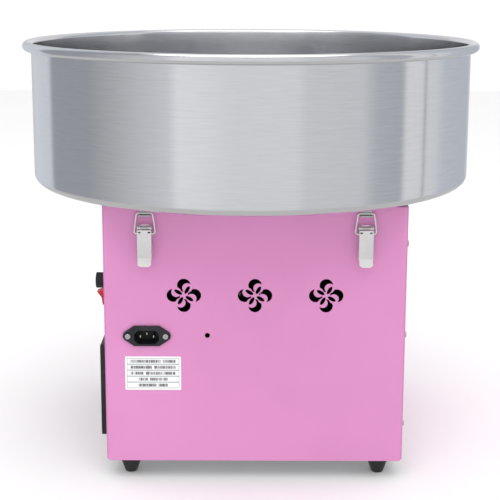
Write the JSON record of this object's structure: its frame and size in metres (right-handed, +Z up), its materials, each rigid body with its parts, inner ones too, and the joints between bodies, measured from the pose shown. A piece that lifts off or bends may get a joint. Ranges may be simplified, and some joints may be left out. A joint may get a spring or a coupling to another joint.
{
  "type": "cotton candy machine",
  "caption": "Table-top cotton candy machine: square sheet-metal base with a storage drawer, latched steel drum bowl and a spinning heated sugar head.",
  "frame": {"origin": "on the spindle axis, at the level of the table that the feet stand on", "axes": "+Z up along the spindle, -Y towards the control panel and the drawer, +X towards the mains inlet"},
  "size_m": [0.5188, 0.5188, 0.4672],
  "materials": {
    "pink_paint": "satin powder coat",
    "bowl_steel": "stainless steel brushed round the bowl",
    "zinc_steel": "zinc plated sheet",
    "nickel_plate": "bright nickel plate",
    "screw_steel": "turned steel",
    "black_rubber": "moulded rubber",
    "black_plastic": "fine grained moulding",
    "red_plastic": "glossy moulding",
    "label_white": "printed film",
    "brass": "turned brass",
    "spun_aluminium": "turned aluminium",
    "stainless_band": "heat tinted steel",
    "motor_steel": "dark enamel",
    "graphite": "pressed graphite",
    "circuit_board": "coated laminate",
    "wire_insulation": "smooth sleeve"
  },
  "bodies": {
    "machine": {"back_panel": "pink_paint", "base_plate": "zinc_steel", "bowl_catches": "zinc_steel", "bowl_floor": "bowl_steel", "bowl_rivets": "screw_steel", "bowl_seat_ring": "black_rubber", "bowl_wall": "bowl_steel", "brush_holder": "black_plastic", "carbon_brushes": "graphite", "case_screws": "screw_steel", "control_board": "circuit_board", "drawer_runner_left": "zinc_steel", "drawer_runner_right": "zinc_steel", "feet": "black_rubber", "foot_screws": "screw_steel", "front_panel": "pink_paint", "heat_control": "black_plastic", "heat_switch_body": "black_plastic", "inlet_housing": "black_plastic", "inlet_pins": "brass", "inlet_screws": "screw_steel", "isolators": "black_rubber", "latch_bases": "nickel_plate", "latch_pins": "nickel_plate", "latch_rivets": "nickel_plate", "left_panel": "pink_paint", "motor_bearings": "screw_steel", "motor_can": "motor_steel", "motor_plate": "zinc_steel", "neck_collar": "spun_aluminium", "power_switch_body": "black_plastic", "rating_label": "label_white", "right_panel": "pink_paint", "stator": "motor_steel", "top_deck": "pink_paint", "wiring": "wire_insulation"},
    "spinner": {"spinner_shaft": "screw_steel", "rotor": "motor_steel", "ring_sleeve": "black_plastic", "slip_rings": "brass", "head_cup": "spun_aluminium", "shaft_nut": "screw_steel", "heater_ring": "stainless_band", "heater_band": "stainless_band", "head_cap": "spun_aluminium", "head_bolts": "screw_steel"},
    "drawer": {"drawer_tray": "zinc_steel", "drawer_front": "black_plastic", "drawer_handle": "nickel_plate"},
    "power_rocker": {"power_rocker": "red_plastic"},
    "heat_rocker": {"heat_rocker": "red_plastic"},
    "heat_knob": {"heat_knob": "black_plastic"},
    "latch_lever_right_front": {"latch_lever_right_front": "nickel_plate"},
    "latch_bail_right_front": {"latch_bail_right_front": "nickel_plate"},
    "latch_lever_right_back": {"latch_lever_right_back": "nickel_plate"},
    "latch_bail_right_back": {"latch_bail_right_back": "nickel_plate"},
    "latch_lever_left_front": {"latch_lever_left_front": "nickel_plate"},
    "latch_bail_left_front": {"latch_bail_left_front": "nickel_plate"},
    "latch_lever_left_back": {"latch_lever_left_back": "nickel_plate"},
    "latch_bail_left_back": {"latch_bail_left_back": "nickel_plate"}
  },
  "joints": [
    {"name": "spinner_spin", "type": "hinge", "parent": "machine", "child": "spinner", "pos_m": [0, 0, 0.35], "axis": [0, 0, 1], "continuous": true},
    {"name": "drawer_slide", "type": "slide", "parent": "machine", "child": "drawer", "axis": [0, -1, 0], "range_m": [0, 0.2]},
    {"name": "heat_knob_turn", "type": "hinge", "parent": "machine", "child": "heat_knob", "pos_m": [0.089, -0.155, 0.204], "axis": [0, 1, 0], "range_deg": [0, 270]},
    {"name": "power_rocker_tilt", "type": "hinge", "parent": "machine", "child": "power_rocker", "pos_m": [0.13, -0.155, 0.1994], "axis": [1, 0, 0], "range_deg": [-44, 0]},
    {"name": "heat_rocker_tilt", "type": "hinge", "parent": "machine", "child": "heat_rocker", "pos_m": [0.048, -0.155, 0.1994], "axis": [1, 0, 0], "range_deg": [-44, 0]},
    {"name": "latch_lever_right_front_turn", "type": "hinge", "parent": "machine", "child": "latch_lever_right_front", "pos_m": [0.1655, -0.11, 0.281], "axis": [0, -1, 0], "range_deg": [0, 105]},
    {"name": "latch_bail_right_front_turn", "type": "hinge", "parent": "latch_lever_right_front", "child": "latch_bail_right_front", "pos_m": [0.1638, -0.11, 0.275], "axis": [0, -1, 0], "range_deg": [-142, 0]},
    {"name": "latch_lever_right_back_turn", "type": "hinge", "parent": "machine", "child": "latch_lever_right_back", "pos_m": [0.1655, 0.12, 0.281], "axis": [0, -1, 0], "range_deg": [0, 105]},
    {"name": "latch_bail_right_back_turn", "type": "hinge", "parent": "latch_lever_right_back", "child": "latch_bail_right_back", "pos_m": [0.1638, 0.12, 0.275], "axis": [0, -1, 0], "range_deg": [-142, 0]},
    {"name": "latch_lever_left_front_turn", "type": "hinge", "parent": "machine", "child": "latch_lever_left_front", "pos_m": [-0.1655, -0.11, 0.281], "axis": [0, 1, 0], "range_deg": [0, 105]},
    {"name": "latch_bail_left_front_turn", "type": "hinge", "parent": "latch_lever_left_front", "child": "latch_bail_left_front", "pos_m": [-0.1638, -0.11, 0.275], "axis": [0, 1, 0], "range_deg": [-142, 0]},
    {"name": "latch_lever_left_back_turn", "type": "hinge", "parent": "machine", "child": "latch_lever_left_back", "pos_m": [-0.1655, 0.12, 0.281], "axis": [0, 1, 0], "range_deg": [0, 105]},
    {"name": "latch_bail_left_back_turn", "type": "hinge", "parent": "latch_lever_left_back", "child": "latch_bail_left_back", "pos_m": [-0.1638, 0.12, 0.275], "axis": [0, 1, 0], "range_deg": [-142, 0]}
  ],
  "couplings": [
    {"joint": "latch_bail_right_front_turn", "follows": "latch_lever_right_front_turn", "ratio": -1.35},
    {"joint": "latch_bail_right_back_turn", "follows": "latch_lever_right_back_turn", "ratio": -1.35},
    {"joint": "latch_bail_left_front_turn", "follows": "latch_lever_left_front_turn", "ratio": -1.35},
    {"joint": "latch_bail_left_back_turn", "follows": "latch_lever_left_back_turn", "ratio": -1.35}
  ]
}
